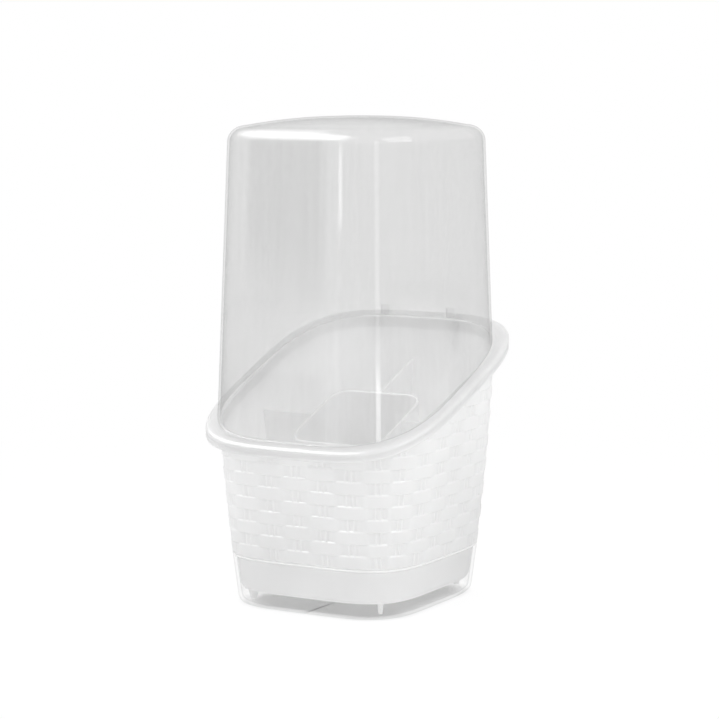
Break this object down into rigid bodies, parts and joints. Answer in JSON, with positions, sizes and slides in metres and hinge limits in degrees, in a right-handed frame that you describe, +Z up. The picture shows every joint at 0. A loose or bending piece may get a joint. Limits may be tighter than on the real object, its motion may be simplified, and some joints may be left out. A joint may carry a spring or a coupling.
{
  "type": "chopstick holder",
  "caption": "Free-standing chopstick holder with a woven-look basket, a lift-out cup divider, a clear drip tray and a tall clear lid that flips back.",
  "frame": {"origin": "middle of the drip tray's flat underside, on the surface that the holder stands on", "axes": "+Z up; -Y towards the low front of the rim; +Y towards the hinge at the high rear"},
  "size_m": [0.1502, 0.1666, 0.2765],
  "materials": {
    "clear_tray": "clear glossy plastic",
    "milky_basket": "milky translucent polypropylene, satin",
    "milky_divider": "milky translucent polypropylene, satin",
    "clear_lid": "clear glossy plastic"
  },
  "bodies": {
    "tray_body": {"drip_tray": "clear_tray"},
    "basket_body": {"basket": "milky_basket"},
    "divider_body": {"divider": "milky_divider"},
    "lid_body": {"lid": "clear_lid"}
  },
  "joints": [
    {"name": "basket_lift", "type": "slide", "parent": "tray_body", "child": "basket_body", "axis": [0, 0, 1], "range_m": [0, 0.04]},
    {"name": "divider_lift", "type": "slide", "parent": "basket_body", "child": "divider_body", "axis": [0, 0, 1], "range_m": [0, 0.12]},
    {"name": "lid_hinge", "type": "hinge", "parent": "basket_body", "child": "lid_body", "pos_m": [0, 0.08559, 0.15289], "axis": [-1, 0, 0], "range_deg": [0, 100]}
  ]
}
